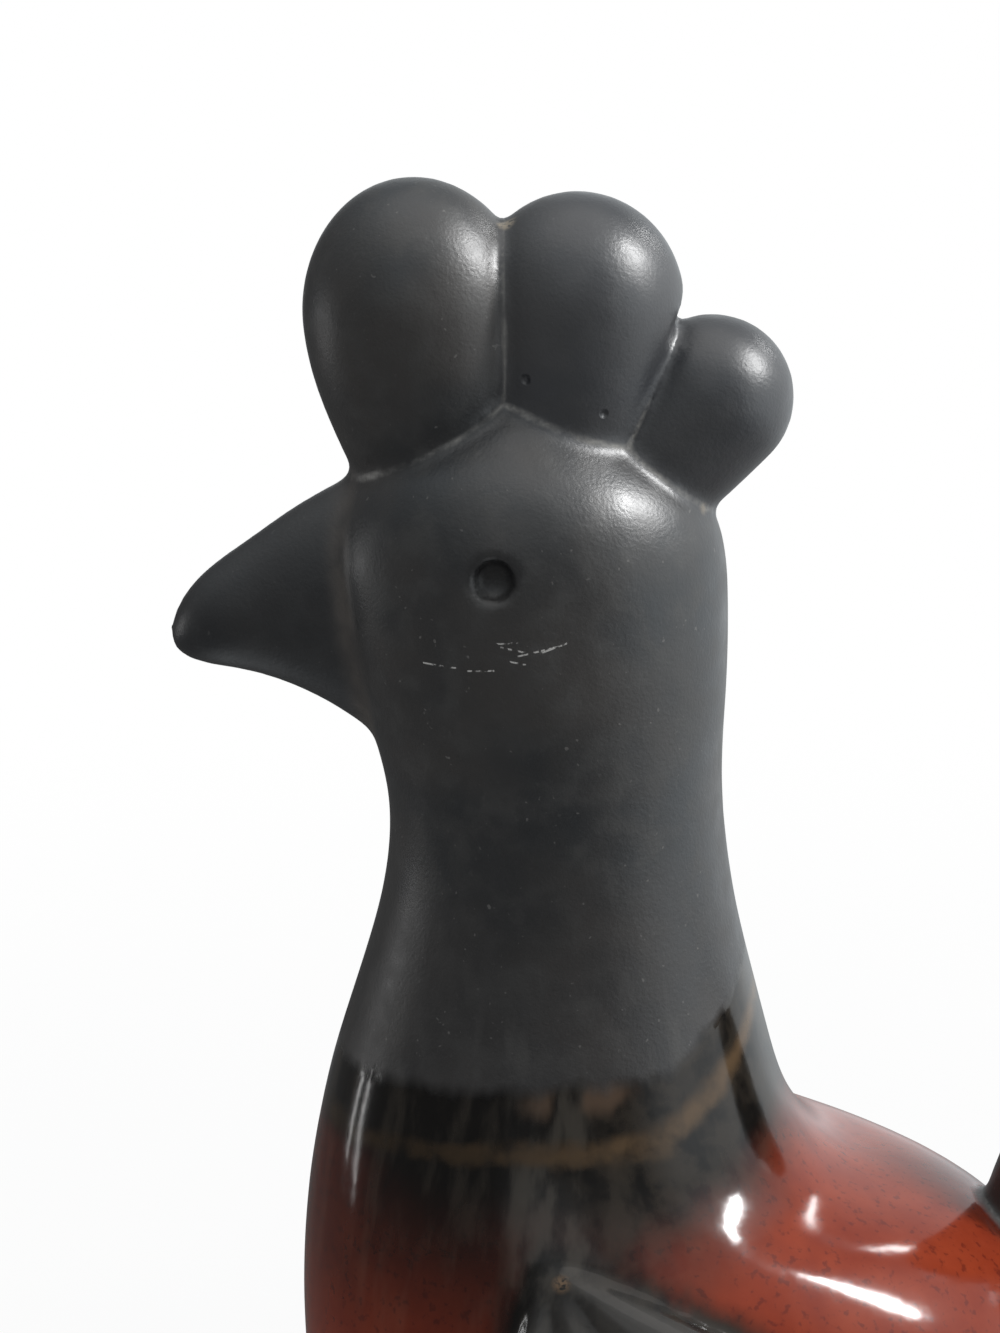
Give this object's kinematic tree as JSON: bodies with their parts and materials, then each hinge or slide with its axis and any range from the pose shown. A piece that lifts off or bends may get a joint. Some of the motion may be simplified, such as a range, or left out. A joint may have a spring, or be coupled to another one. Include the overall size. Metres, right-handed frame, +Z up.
{
  "type": "ceramic rooster figure",
  "caption": "Hand-built stoneware rooster with a satin black head and neck, a balloon-lobed comb, a punched eye and a glossy red body; a free-standing table ornament.",
  "frame": {"origin": "middle of the foot, on the table", "axes": "+Z up, -X towards the beak, +X towards the tail, -Y towards the bird's left"},
  "size_m": [0.2057, 0.1218, 0.3004],
  "materials": {
    "black_glaze": "satin black glaze over stoneware",
    "red_glaze": "glossy iron red glaze over stoneware",
    "bare_stoneware": "unglazed fired clay"
  },
  "bodies": {
    "root": {"base_slab": "bare_stoneware", "body_shell": "red_glaze", "neck_and_head": "black_glaze", "comb_lobe_front": "black_glaze", "comb_lobe_middle": "black_glaze", "comb_lobe_rear": "black_glaze", "beak": "black_glaze", "wing_left": "black_glaze", "wing_right": "black_glaze", "tail_plume_upper": "black_glaze", "tail_plume_middle": "black_glaze", "tail_plume_lower": "black_glaze"}
  },
  "joints": []
}
